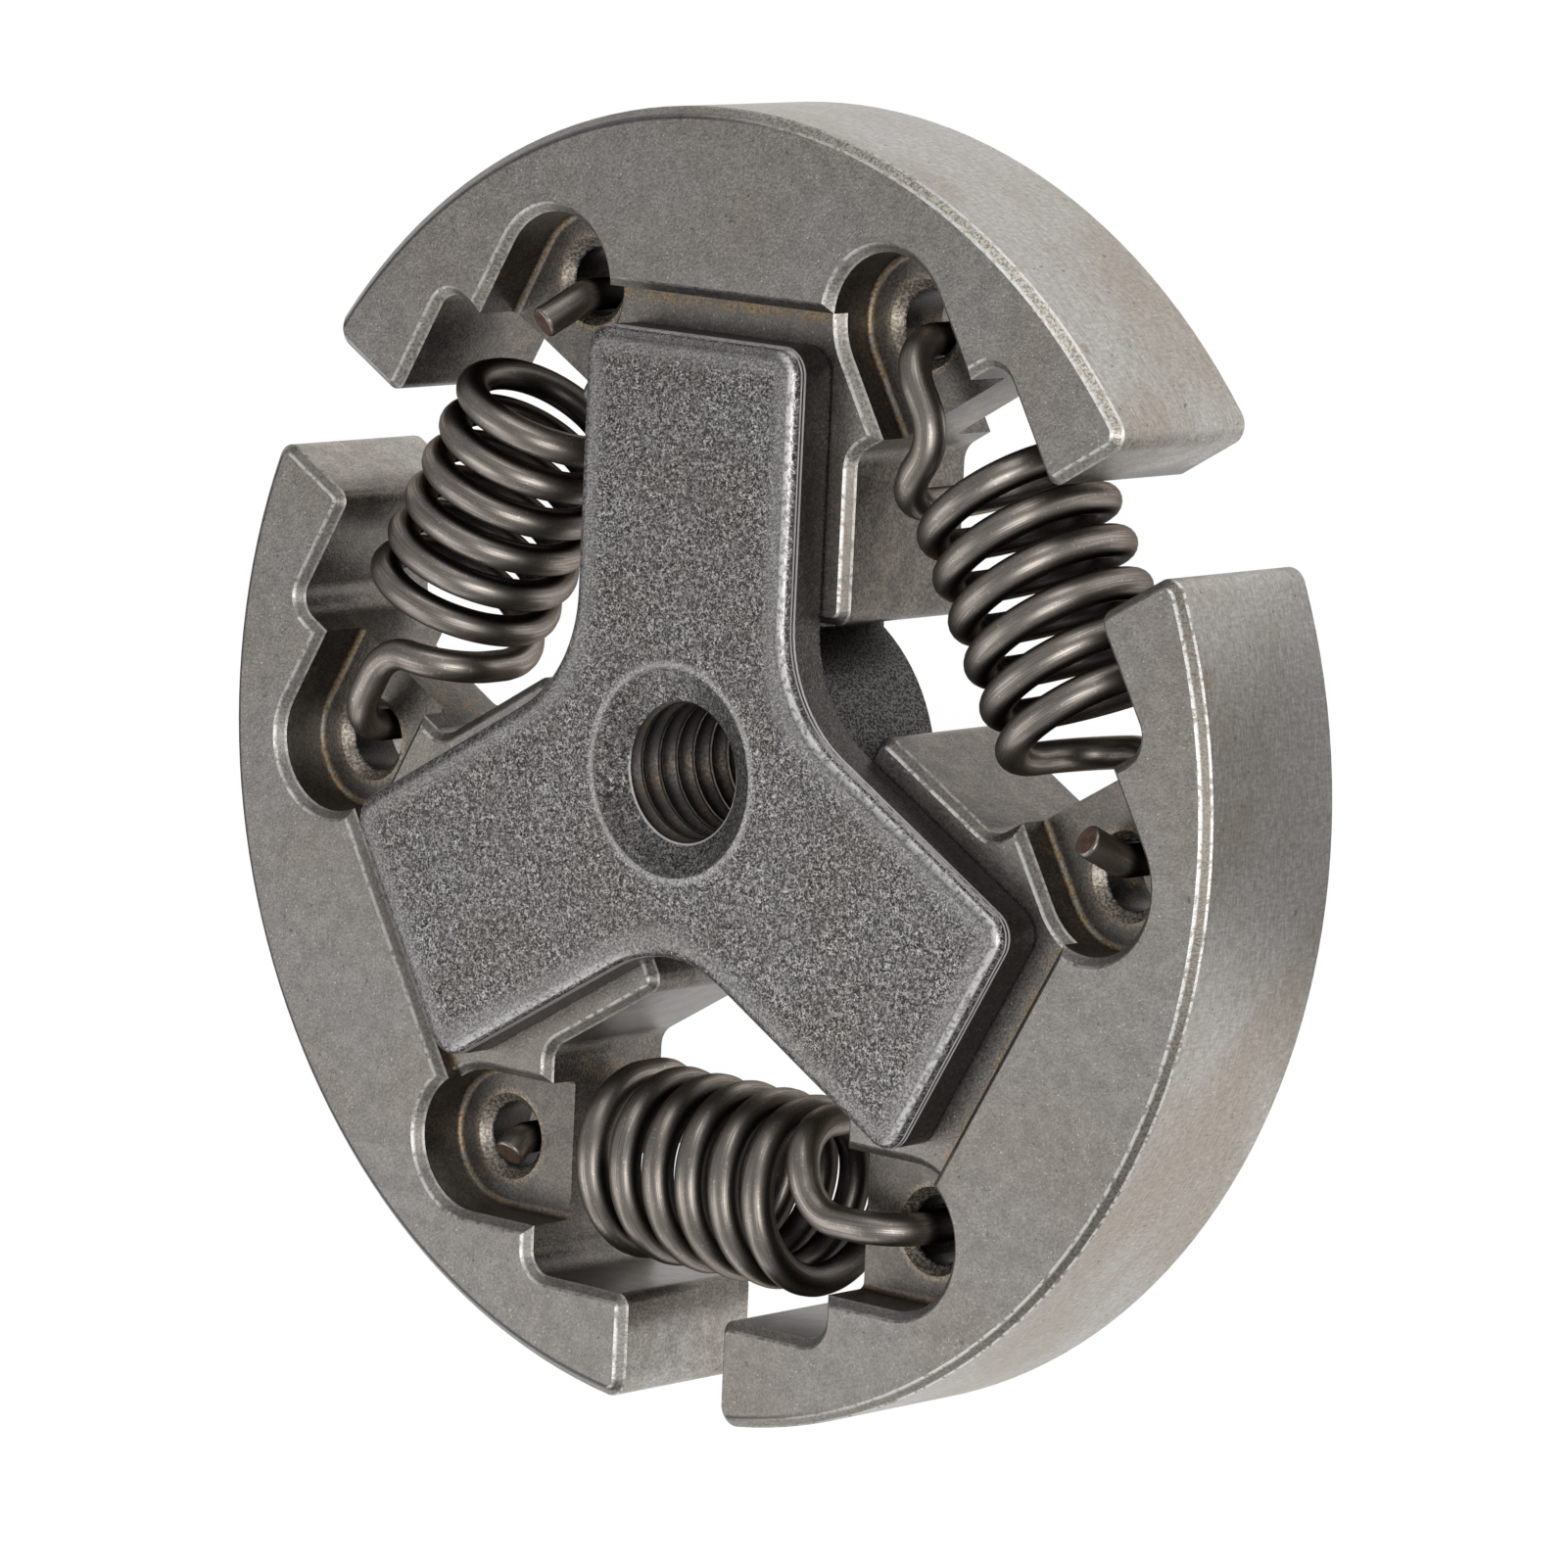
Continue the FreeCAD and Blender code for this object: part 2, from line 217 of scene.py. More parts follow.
# Softboxes: way to the light, its distance, width and height in metres, and its power in watts
SOFTBOXES = {
    "softbox_front": ((-0.50, -0.36, 0.79), 0.32, 0.24, 0.24, 0.22),
    "softbox_key": ((0.73, -0.06, 0.65), 0.6, 0.30, 0.30, 1.1),
    "softbox_top": ((0.25, 0.85, 0.45), 0.6, 0.4, 0.25, 0.45),
    "softbox_low": ((-0.35, -0.9, 0.25), 0.6, 0.5, 0.25, 0.38),
}
ROOM_STRENGTH = 0.34

# Camera of the photograph, found from the clutch's three-fold symmetry: its place in millimetres,
# its turns about X, Y and Z in degrees, and its focal length in pixels of the photograph
CAMERA_PLACE = (275.001, 61.575, 309.602)
CAMERA_TURNS = (-6.350936, 42.245771, 3.462536)
FOCAL_PIXELS = 8527.44
PHOTO_PIXELS = 1601
SENSOR = 36.0
LENS = FOCAL_PIXELS * SENSOR / PHOTO_PIXELS
CLIP_START = 0.01
CLIP_END = 20.0


def rgb(red, green, blue):
    return (red, green, blue, 1.0)


# Colours of the shoes, as linear red, green and blue
FACE_GREY = rgb(0.363, 0.342, 0.322)
FACE_TAN = rgb(0.358, 0.325, 0.290)
FACE_CLOUD = rgb(0.15, 0.14, 0.13)
FACE_GRAIN_DARK = rgb(0.095, 0.088, 0.082)
FACE_GRAIN_LIGHT = rgb(0.62, 0.60, 0.58)
FLECK = rgb(0.80, 0.78, 0.75)
PIT = rgb(0.07, 0.062, 0.055)
OILY_SHADE_DARK = rgb(0.138, 0.124, 0.112)
OILY_SHADE_BROWN = rgb(0.208, 0.178, 0.152)
OILY_SHADE_GRAIN_DARK = rgb(0.045, 0.039, 0.034)
OILY_SHADE_GRAIN_LIGHT = rgb(0.44, 0.41, 0.38)
HOLE_BROWN = rgb(0.20, 0.165, 0.13)
HOLE_BEIGE = rgb(0.46, 0.39, 0.30)
HOLE_PAINTED_SHADE = rgb(0.022, 0.019, 0.016)
GROUND_GREY = rgb(0.665, 0.64, 0.61)
GROUND_BROWN = rgb(0.56, 0.50, 0.435)
GROUND_LINE = rgb(0.16, 0.147, 0.134)
GROUND_GRAIN = rgb(0.13, 0.12, 0.11)
RUST_DARK = rgb(0.20, 0.13, 0.068)
RUST_LIGHT = rgb(0.44, 0.325, 0.18)
GOLD_DARK = rgb(0.30, 0.27, 0.23)
GOLD_LIGHT = rgb(0.78, 0.73, 0.65)
TAN_DARK = rgb(0.175, 0.158, 0.138)
TAN_LIGHT = rgb(0.32, 0.292, 0.254)
EDGE_SHADE = rgb(0.05, 0.05, 0.054)
SHOE_WORN_AND_HIGHLIGHT = rgb(0.88, 0.86, 0.83)

# Colours of the spider and its thread
PLATE_GREY = rgb(0.335, 0.321, 0.310)
PLATE_BROWN = rgb(0.285, 0.256, 0.229)
PLATE_GRAIN = rgb(0.045, 0.043, 0.041)
PLATE_CLOUD = rgb(0.15, 0.143, 0.137)
PLATE_BORDER = rgb(0.44, 0.43, 0.415)
PLATE_WALL = rgb(0.105, 0.095, 0.087)
PLATE_WORN_AND_HIGHLIGHT = rgb(0.88, 0.86, 0.84)
STROKE_DARK = rgb(0.03, 0.029, 0.028)
STROKE_LIGHT = rgb(0.80, 0.79, 0.77)
HUB_OILY_SHADE_DARK = rgb(0.02, 0.019, 0.018)
HUB_OILY_SHADE_LIGHT = rgb(0.13, 0.125, 0.122)
THREAD_GREY = rgb(0.10, 0.092, 0.086)
THREAD_BROWN = rgb(0.15, 0.118, 0.09)
THREAD_GRAIN = rgb(0.05, 0.046, 0.043)
THREAD_OILY_SHADE = rgb(0.011, 0.010, 0.009)

# Colours of the springs
WIRE_GLANCE = rgb(0.30, 0.28, 0.27)
WIRE_DARK = rgb(0.245, 0.218, 0.195)
WIRE_LIGHT = rgb(0.425, 0.38, 0.342)
WIRE_CLOUD = rgb(0.28, 0.245, 0.213)
WIRE_FLECK = rgb(0.60, 0.56, 0.52)
WIRE_PAINTED_SHADE = rgb(0.016, 0.014, 0.012)
CUT_DARK = rgb(0.16, 0.095, 0.07)
CUT_LIGHT = rgb(0.27, 0.18, 0.14)

# Colours of the studio
FLOOR_PALE = rgb(0.8, 0.8, 0.8)
ROOM_COLOUR = rgb(0.97, 0.98, 1.0)


class Graph:
    """A material's node tree, with short calls for the nodes used here."""

    def __init__(self, name):
        self.material = bpy.data.materials.new(name)
        self.material.use_nodes = True
        self.tree = self.material.node_tree
        self.tree.nodes.clear()
        self.shader = self.node("ShaderNodeBsdfPrincipled")
        self.out = self.node("ShaderNodeOutputMaterial")
        self.tree.links.new(self.shader.outputs[0], self.out.inputs[0])
        place = self.node("ShaderNodeTexCoord").outputs["Object"]
        self.mm = self.vector("SCALE", place, scale=1 / MM)

    def put(self, socket, value):
        if isinstance(value, bpy.types.NodeSocket):
            self.tree.links.new(value, socket)
        else:
            socket.default_value = value

    def node(self, kind, inputs=None, **settings):
        made = self.tree.nodes.new(kind)
        for key, value in settings.items():
            setattr(made, key, value)
        for key, value in (inputs or {}).items():
            self.put(made.inputs[key], value)
        return made

    def math(self, operation, a, b=0.0):
        return self.node("ShaderNodeMath", {0: a, 1: b}, operation=operation).outputs[0]

    def chain(self, operation, values):
        result = values[0]
        for value in values[1:]:
            result = self.math(operation, result, value)
        return result

    def times(self, *factors):
        return self.chain("MULTIPLY", factors)

    def most(self, *values):
        return self.chain("MAXIMUM", values)

    def least(self, *values):
        return self.chain("MINIMUM", values)

    def invert(self, share):
        return self.math("SUBTRACT", 1.0, share)

    def vector(self, operation, a, b=None, scale=None):
        made = self.node("ShaderNodeVectorMath", {0: a}, operation=operation)
        if b is not None:
            self.put(made.inputs[1], b)
        if scale is not None:
            self.put(made.inputs["Scale"], scale)
        return made.outputs["Value" if operation in ("DOT_PRODUCT", "LENGTH") else 0]

    def join(self, *parts):
        return self.node("ShaderNodeCombineXYZ", dict(enumerate(parts))).outputs[0]

    def split(self, vector):
        return self.node("ShaderNodeSeparateXYZ", {0: vector}).outputs[:3]

    def place(self):
        """Coordinates of a point in millimetres, and its distance from the rotation axis."""
        x, y, z = self.split(self.mm)
        return x, y, z, self.vector("LENGTH", self.join(x, y))

    def looks_along(self, direction):
        normal = self.node("ShaderNodeNewGeometry").outputs["Normal"]
        return self.vector("DOT_PRODUCT", normal, direction)

    def level(self):
        """How far a surface looks up or down: 0 on walls, 1 on level faces."""
        return self.math("ABSOLUTE", self.looks_along((0.0, 0.0, 1.0)))

    def wear_and_light_side(self):
        """1 on edges that look to the lit side, 0 on the others: rubbing and painted highlight."""
        return self.rise(self.looks_along(WEAR_AND_LIGHT_TOWARD), WEAR_AND_LIGHT_LEVELS)

    def noise(self, where, scale, detail, rough):
        made = self.node("ShaderNodeTexNoise", {
            "Vector": where, "Scale": scale, "Detail": detail, "Roughness": rough})
        return made.outputs["Fac"]

    def between(self, value, low, high, to_low=0.0, to_high=1.0):
        """Smooth step from to_low to to_high, as value goes from low to high."""
        made = self.node("ShaderNodeMapRange", {
            "Value": value, "From Min": low, "From Max": high, "To Min": to_low, "To Max": to_high},
            interpolation_type="SMOOTHSTEP")
        return made.outputs["Result"]

    def rise(self, value, limits, base=0.0):
        """Smooth step up from 0 to 1 over limits, which count from base."""
        return self.between(value, base + limits[0], base + limits[1])

    def fall(self, value, limits, base=0.0):
        """Smooth step down from 1 to 0 over limits, which count from base."""
        return self.between(value, base + limits[1], base + limits[0])

    def within(self, value, limits, soft, base=0.0):
        """1 between limits, which count from base, with soft ends."""
        low, high = base + limits[0], base + limits[1]
        start = self.between(value, low - soft, low + soft)
        return self.times(start, self.between(value, high + soft, high - soft))

    def mix(self, share, a, b):
        made = self.node("ShaderNodeMix", data_type="RGBA", blend_type="MIX", clamp_factor=True)
        self.put(made.inputs["Factor"], share)
        colours = [s for s in made.inputs if s.type == "RGBA"]
        self.put(colours[0], a)
        self.put(colours[1], b)
        return [s for s in made.outputs if s.type == "RGBA"][0]

    def finish(self, colour, metal, rough, height, depth):
        """Material with these values and a bump of height, whose depth is in millimetres."""
        bump = self.node("ShaderNodeBump", {"Height": height, "Distance": depth * MM, "Strength": 1.0})
        self.put(self.shader.inputs["Base Color"], colour)
        self.put(self.shader.inputs["Metallic"], metal)
        self.put(self.shader.inputs["Roughness"], rough)
        self.put(self.shader.inputs["Normal"], bump.outputs[0])
        return self.material


def along_and_across(g, x, y, angle):
    """How far a point lies along the direction at an angle, and how far across it."""
    turn = math.radians(angle)
    along = g.math("ADD", g.times(x, math.cos(turn)), g.times(y, math.sin(turn)))
    across = g.math("SUBTRACT", g.times(y, math.cos(turn)), g.times(x, math.sin(turn)))
    return along, across


class ShoeSkin:
    """Noises, places and masks that the looks of a shoe share. Its mirrored_z folds the back half of the
    shoe onto the front half."""

    def __init__(self, g):
        self.patches = g.noise(g.mm, scale=0.11, detail=1.0, rough=0.6)
        self.cloud = g.noise(g.mm, scale=0.9, detail=2.0, rough=0.65)
        self.grain = g.noise(g.mm, scale=6.5, detail=2.0, rough=0.75)
        self.spots = g.noise(g.mm, scale=3.1, detail=1.0, rough=0.5)
        self.x, self.y, self.z, self.radius = g.place()
        from_middle = g.math("ABSOLUTE", g.math("SUBTRACT", self.z, MIDDLE))
        self.mirrored_z = g.math("ADD", from_middle, MIDDLE)
        self.level = g.level()
        self.walls = g.fall(self.level, WALL_LEVELS)
        self.flat = g.rise(self.level, FLAT_LEVELS)
        self.slope = g.invert(g.most(self.walls, self.flat))
        self.inner = g.times(self.walls, g.fall(self.radius, INSIDE_RADII))
        self.outer = g.rise(self.radius, OUTER_BEVEL, OUTER_RADIUS)
        self.floor = g.times(g.within(self.mirrored_z, POCKET_FLOOR, 0.05, WEB_FRONT), self.flat)
        self.bevels = g.times(self.slope, g.rise(self.mirrored_z, BEVEL_FOOT, LEDGE_Z - EDGE_CHAMFER))
        self.wear_and_light = g.wear_and_light_side()
        self.oil_and_shade = self.oil_and_shade_colour(g)

    def oil_and_shade_colour(self, g):
        # Oily brown, also used as painted shade in the hollows
        oil_and_shade = g.mix(g.between(self.cloud, 0.35, 0.65), OILY_SHADE_DARK, OILY_SHADE_BROWN)
        oil_and_shade = g.mix(g.between(self.grain, 0.35, 0.62, 0.65, 0.0), oil_and_shade, OILY_SHADE_GRAIN_DARK)
        return g.mix(g.between(self.grain, 0.56, 0.72, 0.0, 0.20), oil_and_shade, OILY_SHADE_GRAIN_LIGHT)


def shoe_faces(g, skin):
    """Level faces: warm grey, with a fine grain."""
    colour = g.mix(g.between(skin.patches, 0.35, 0.65), FACE_GREY, FACE_TAN)
    colour = g.mix(g.between(skin.cloud, 0.3, 0.7, 0.32, 0.0), colour, FACE_CLOUD)
    colour = g.mix(g.between(skin.grain, 0.32, 0.62, 0.48, 0.0), colour, FACE_GRAIN_DARK)
    return g.mix(g.between(skin.grain, 0.56, 0.74, 0.0, 0.22), colour, FACE_GRAIN_LIGHT)


def add_oil_and_shade(g, skin, colour):
    """Walls inside the shoe and floors of the pockets: oily and browner, partly painted shade in the
    hollows. The top shoe's ledge: oily and browner.
    """
    # Inside walls and pocket floors: oily, and painted shade
    colour = g.mix(g.times(skin.inner, 0.80), colour, skin.oil_and_shade)
    colour = g.mix(g.times(skin.floor, 0.55), colour, skin.oil_and_shade)
    ledge = g.times(g.within(skin.z, LEDGE_FACE, 0.05, LEDGE_Z), skin.flat, g.rise(skin.y, TOP_LEDGE_Y))
    return g.mix(g.times(ledge, 0.45), colour, skin.oil_and_shade)


def hook_hole_distance(g, x, y):
    """Distance from the centre line of the nearest hook hole."""
    distances = []
    for angle in GAP_ANGLES:
        along, across = along_and_across(g, x, y, angle)
        off = g.math("SUBTRACT", g.math("ABSOLUTE", across), HOOK_OFF)
        distances.append(g.vector("LENGTH", g.join(g.math("SUBTRACT", along, HOOK_ALONG), off)))
    return g.least(*distances)


def add_hook_holes(g, skin, colour):
    """Hook holes: a golden, grainy ring at the mouth, and painted shade inside."""
    away = hook_hole_distance(g, skin.x, skin.y)
    beige = g.mix(g.between(skin.grain, 0.38, 0.60), HOLE_BROWN, HOLE_BEIGE)
    ring = g.times(g.within(away, HOLE_RING, 0.12, HOOK_HOLE_RADIUS), g.rise(skin.level, RING_LEVELS))
    colour = g.mix(g.times(ring, 0.75), colour, beige)
    # Painted shade on the hole's wall
    return g.mix(g.times(g.fall(away, HOLE_WALL, HOOK_HOLE_RADIUS), 0.85), colour, HOLE_PAINTED_SHADE)


def add_ground_rim(g, skin, colour):
    """Rubbing face: lighter, brown in patches, with fine lines round it. The shoe's ends are as cast."""
    angle = g.math("ARCTAN2", skin.y, skin.x)
    around = g.join(g.times(angle, OUTER_RADIUS), skin.z)
    lines = g.noise(g.vector("MULTIPLY", around, (1.1, 9.0, 1.0)), scale=1.0, detail=2.0, rough=0.65)
    scuffs = g.noise(g.vector("MULTIPLY", around, (5.0, 2.2, 1.0)), scale=1.0, detail=2.0, rough=0.7)
    stains = g.noise(g.vector("MULTIPLY", around, (0.055, 0.10, 1.0)), scale=1.0, detail=3.0, rough=0.62)
    ground = g.mix(g.between(stains, 0.40, 0.62), GROUND_GREY, GROUND_BROWN)
    cast = g.mix(g.between(skin.cloud, 0.3, 0.7, 0.4, 0.0), ground, GROUND_LINE)
    cast = g.mix(g.between(skin.grain, 0.34, 0.62, 0.5, 0.0), cast, GROUND_GRAIN)
    ground = g.mix(g.between(lines, 0.3, 0.7, 0.36, 0.0), ground, GROUND_LINE)
    ground = g.mix(g.between(scuffs, 0.3, 0.7, 0.32, 0.0), ground, GROUND_LINE)
    ground = g.mix(g.between(skin.grain, 0.32, 0.64, 0.20, 0.0), ground, GROUND_GRAIN)
    ends = g.times(skin.walls, g.rise(skin.radius, END_RADII), 0.65)
    colour = g.mix(ends, colour, cast)
    rim = g.times(g.rise(skin.radius, RIM_SKIN, OUTER_RADIUS), skin.walls)
    return g.mix(rim, colour, ground)


def add_flecks(g, skin, colour):
    """Light flecks where the steel is clean, and dark pits."""
    flecks = g.between(g.noise(g.mm, scale=7.5, detail=1.0, rough=0.4), 0.70, 0.76)
    clean = g.invert(g.most(skin.inner, skin.floor))
    colour = g.mix(g.times(flecks, clean, 0.6), colour, FLECK)
    return g.mix(g.times(g.between(skin.spots, 0.29, 0.21), 0.55), colour, PIT)


def add_rust(g, skin, colour):
    """Rust along the foot of the pocket walls, on walls near it, and at the step beyond an arm's tip."""
    foot = g.times(skin.slope, g.within(skin.mirrored_z, POCKET_FOOT, 0.03, WEB_FRONT))
    foot = g.times(foot, g.between(skin.cloud, 0.38, 0.56, 0.15, 0.85))
    creep = g.times(skin.inner, g.fall(skin.mirrored_z, CREEP_HEIGHT, WEB_FRONT))
    creep = g.times(creep, g.within(skin.radius, CREEP_RADII, 1.0))
    creep = g.times(creep, g.between(skin.cloud, 0.44, 0.70, 0.0, 0.34))
    reach = g.most(*[along_and_across(g, skin.x, skin.y, angle)[0] for angle in ARM_ANGLES])
    corner = g.within(reach, STEP_FOOT, 0.25, STEP_Y)
    corner = g.times(corner, g.within(skin.z, STEP_FOOT_HEIGHT, 0.1, LEDGE_Z))
    corner = g.times(corner, g.between(skin.cloud, 0.38, 0.60, 0.1, 0.7))
    rust = g.mix(g.between(skin.grain, 0.35, 0.65), RUST_DARK, RUST_LIGHT)
    return g.mix(g.most(foot, g.most(creep, corner)), colour, rust)


def add_bevels(g, skin, colour):
    """Bevels: golden on the top shoe and tan elsewhere, shown on the lit side and partly painted
    highlight, oily at the ledge, with a painted shade line round the rim on the side away from the light."""
    top_shoe = g.rise(skin.y, TOP_SHOE_Y)
    golden = g.mix(g.between(skin.grain, 0.36, 0.62), GOLD_DARK, GOLD_LIGHT)
    tan = g.mix(g.between(skin.grain, 0.36, 0.62), TAN_DARK, TAN_LIGHT)
    # Bevel band, shown on the lit side: its tone, and partly painted highlight
    banded = g.times(skin.bevels, skin.wear_and_light, g.between(skin.outer, 0.0, 1.0, 0.30, 1.0))
    colour = g.mix(banded, colour, g.mix(top_shoe, tan, golden))
    low = g.times(skin.bevels, g.fall(skin.mirrored_z, LEDGE_BEVEL, LEDGE_Z))
    colour = g.mix(g.times(low, g.invert(top_shoe), 0.45), colour, skin.oil_and_shade)
    # Painted shade: a dark line round the rim on the side away from the light
    side = g.math("DIVIDE", g.vector("DOT_PRODUCT", g.mm, WEAR_AND_LIGHT_TOWARD), skin.radius)
    shaded = g.within(skin.radius, SHADED_LINE, 0.06, OUTER_RADIUS - EDGE_CHAMFER)
    shaded = g.times(shaded, g.rise(skin.mirrored_z, SHADED_HEIGHT, SHOE_THICKNESS))
    return g.mix(g.times(shaded, g.between(side, 0.30, 0.0, 0.0, 0.75)), colour, EDGE_SHADE)


def shoe_wear_and_highlight(g, skin):
    """How bright the borders of the bevels and the mouths of the hook holes are rubbed; the bevel lines
    are also painted highlight on the lit side.
    """
    tops = []
    lows = []
    for height in (SHOE_THICKNESS, LEDGE_Z):
        tops.append(g.within(skin.mirrored_z, BEVEL_TOP_LINE, 0.05, height))
        lows.append(g.within(skin.mirrored_z, BEVEL_LOW_LINE, 0.025, height - EDGE_CHAMFER))
    top, low = g.most(*tops), g.most(*lows)
    inward = g.invert(skin.outer)
    rim_line = g.times(skin.bevels, g.most(top, low), skin.outer, skin.wear_and_light)
    top_line = g.times(skin.bevels, top, inward, g.between(skin.wear_and_light, 0.0, 1.0, 0.40, 0.75))
    low_line = g.times(skin.bevels, low, inward, skin.wear_and_light, 0.35)
    ragged = g.between(skin.spots, 0.34, 0.52, 0.25, 1.0)
    worn_and_highlight = g.times(g.most(rim_line, g.most(top_line, low_line)), ragged)
    mouths = g.times(skin.slope, g.within(skin.mirrored_z, HOLE_MOUTH, 0.02, WEB_FRONT))
    return g.most(worn_and_highlight, g.times(mouths, g.between(skin.grain, 0.46, 0.62), 0.30))


def shoe_material():
    g = Graph("shoe_sintered_steel")
    skin = ShoeSkin(g)
    colour = shoe_faces(g, skin)
    for add in (add_oil_and_shade, add_hook_holes, add_ground_rim, add_flecks, add_rust, add_bevels):
        colour = add(g, skin, colour)
    worn_and_highlight = shoe_wear_and_highlight(g, skin)
    # Bright edges: rubbing, and painted highlight on the lit side
    colour = g.mix(worn_and_highlight, colour, SHOE_WORN_AND_HIGHLIGHT)
    metal = g.invert(g.times(worn_and_highlight, 0.6))
    shine = g.times(g.most(worn_and_highlight, skin.inner), -0.10)
    rough = g.math("ADD", g.between(skin.grain, 0.2, 0.8, 0.38, 0.52), shine)
    return g.finish(colour, metal, rough, skin.grain, depth=0.022)


class SpiderSkin:
    """Noises and places that the looks of the spider share."""

    def __init__(self, g):
        self.grain = g.noise(g.mm, scale=8.0, detail=1.0, rough=0.7)
        self.broken = g.noise(g.mm, scale=3.2, detail=1.0, rough=0.6)
        self.x, self.y, self.z, self.radius = g.place()
        self.level = g.level()


def strokes(g, scale, width, share):
    """Short worm-like strokes: thin bands of a noise, where share lets them through."""
    noise = g.noise(g.mm, scale, detail=1.0, rough=0.5)
    band = g.math("ABSOLUTE", g.math("SUBTRACT", noise, 0.5))
    return g.times(g.between(band, width, 0.0), share)


def plate_depth(g, x, y):
    """Depth of a point inside the plate's outline, smoothed where two arms meet."""
    depth = None
    for angle in ARM_ANGLES:
        along, across = along_and_across(g, x, y, angle)
        side = g.math("SUBTRACT", ARM_HALF, g.math("ABSOLUTE", across))
        end = g.least(g.math("SUBTRACT", ARM_TIP_Y, along), g.math("ADD", along, ARM_HALF))
        arm = g.least(side, end)
        if depth is None:
            depth = arm
        else:
            smooth = g.node("ShaderNodeMath", {0: depth, 1: arm, 2: ARMS_MERGE}, operation="SMOOTH_MAX")
            depth = smooth.outputs[0]
    return depth


def spider_faces(g, skin):
    """Grainy front of the plate with a smoother margin, its dark walls, and behind it darker: oily, and
    painted shade.
    """
    patches = g.noise(g.mm, scale=0.16, detail=2.0, rough=0.6)
    cloud = g.noise(g.mm, scale=0.7, detail=2.0, rough=0.65)
    dark = strokes(g, 4.6, 0.10, g.between(skin.broken, 0.35, 0.46))
    light = strokes(g, 5.2, 0.055, g.between(skin.broken, 0.56, 0.46))
    flat = g.rise(skin.level, FLAT_LEVELS)
    margin = g.times(g.fall(plate_depth(g, skin.x, skin.y), PLATE_MARGIN), flat)
    rest = g.invert(g.times(margin, 0.6))
    colour = g.mix(g.between(patches, 0.35, 0.7), PLATE_GREY, PLATE_BROWN)
    colour = g.mix(g.between(skin.grain, 0.42, 0.56, 0.85, 0.0), colour, PLATE_GRAIN)
    colour = g.mix(g.times(dark, 0.9, rest), colour, STROKE_DARK)
    colour = g.mix(g.times(light, 0.8, rest), colour, STROKE_LIGHT)
    colour = g.mix(g.between(cloud, 0.35, 0.7, 0.0, 0.38), colour, PLATE_CLOUD)
    colour = g.mix(g.times(margin, 0.30), colour, PLATE_BORDER)
    colour = g.mix(g.times(g.fall(skin.level, PLATE_WALL_LEVELS), 0.80), colour, PLATE_WALL)
    # Behind the plate: oily, and painted shade
    hub_oily_shade = g.mix(g.between(skin.grain, 0.38, 0.62), HUB_OILY_SHADE_DARK, HUB_OILY_SHADE_LIGHT)
    return g.mix(g.times(g.fall(skin.z, PLATE_BACK_Z), 0.9), colour, hub_oily_shade)


def spider_wear_and_highlight(g, skin):
    """How bright the plate's rounded border and the bore's mouth are rubbed, with painted highlight on
    the lit side, on the round where it looks up, at the countersink's lip and at the mouth's low side.
    """
    ragged = g.between(skin.broken, 0.34, 0.56, 0.30, 1.0)
    crest = g.times(g.within(skin.z, CREST_LINE, 0.05, PLATE_FRONT), ragged, g.wear_and_light_side())
    thin = g.most(*[g.within(skin.z, line, 0.03, PLATE_ROUND_FOOT) for line in ROUND_LINES])
    upward = g.rise(g.looks_along((0.0, 1.0, 0.0)), TOP_EDGE_LEVELS)
    # Painted highlight on the round where it looks up
    top = g.times(g.within(skin.z, TOP_ROUND_LINE, 0.04, PLATE_ROUND_FOOT), upward, ragged, 0.8)
    border = g.most(crest, g.most(thin, top))
    border = g.times(border, g.rise(skin.radius, BORE_RADII), g.fall(skin.level, FLAT_LEVELS))
    # Painted highlight: a soft ring where the countersink's lip would be rounded
    lip = g.within(skin.radius, SINK_LIP, 0.22, SINK_RADIUS)
    lip = g.times(lip, g.rise(skin.z, SINK_LIP_HEIGHT, PLATE_FRONT), ragged, 0.42)
    # Mouth edge: rubbing, and painted highlight on its low side
    edge = g.fall(skin.radius, MOUTH_EDGE, MOUTH_RADIUS)
    edge = g.times(edge, g.rise(skin.z, MOUTH_EDGE_HEIGHT, PLATE_FRONT), g.fall(skin.y, LOW_MOUTH_Y), 0.7)
    return g.most(border, lip, edge)


def spider_material():
    g = Graph("spider_grained_steel")
    skin = SpiderSkin(g)
    worn_and_highlight = spider_wear_and_highlight(g, skin)
    # Bright border and mouth: rubbing, and painted highlight
    colour = g.mix(worn_and_highlight, spider_faces(g, skin), PLATE_WORN_AND_HIGHLIGHT)
    metal = g.invert(g.times(worn_and_highlight, 0.65))
    rough = g.math("ADD", g.between(skin.grain, 0.3, 0.7, 0.50, 0.38), g.times(worn_and_highlight, -0.1))
    return g.finish(colour, metal, rough, skin.grain, depth=0.03)


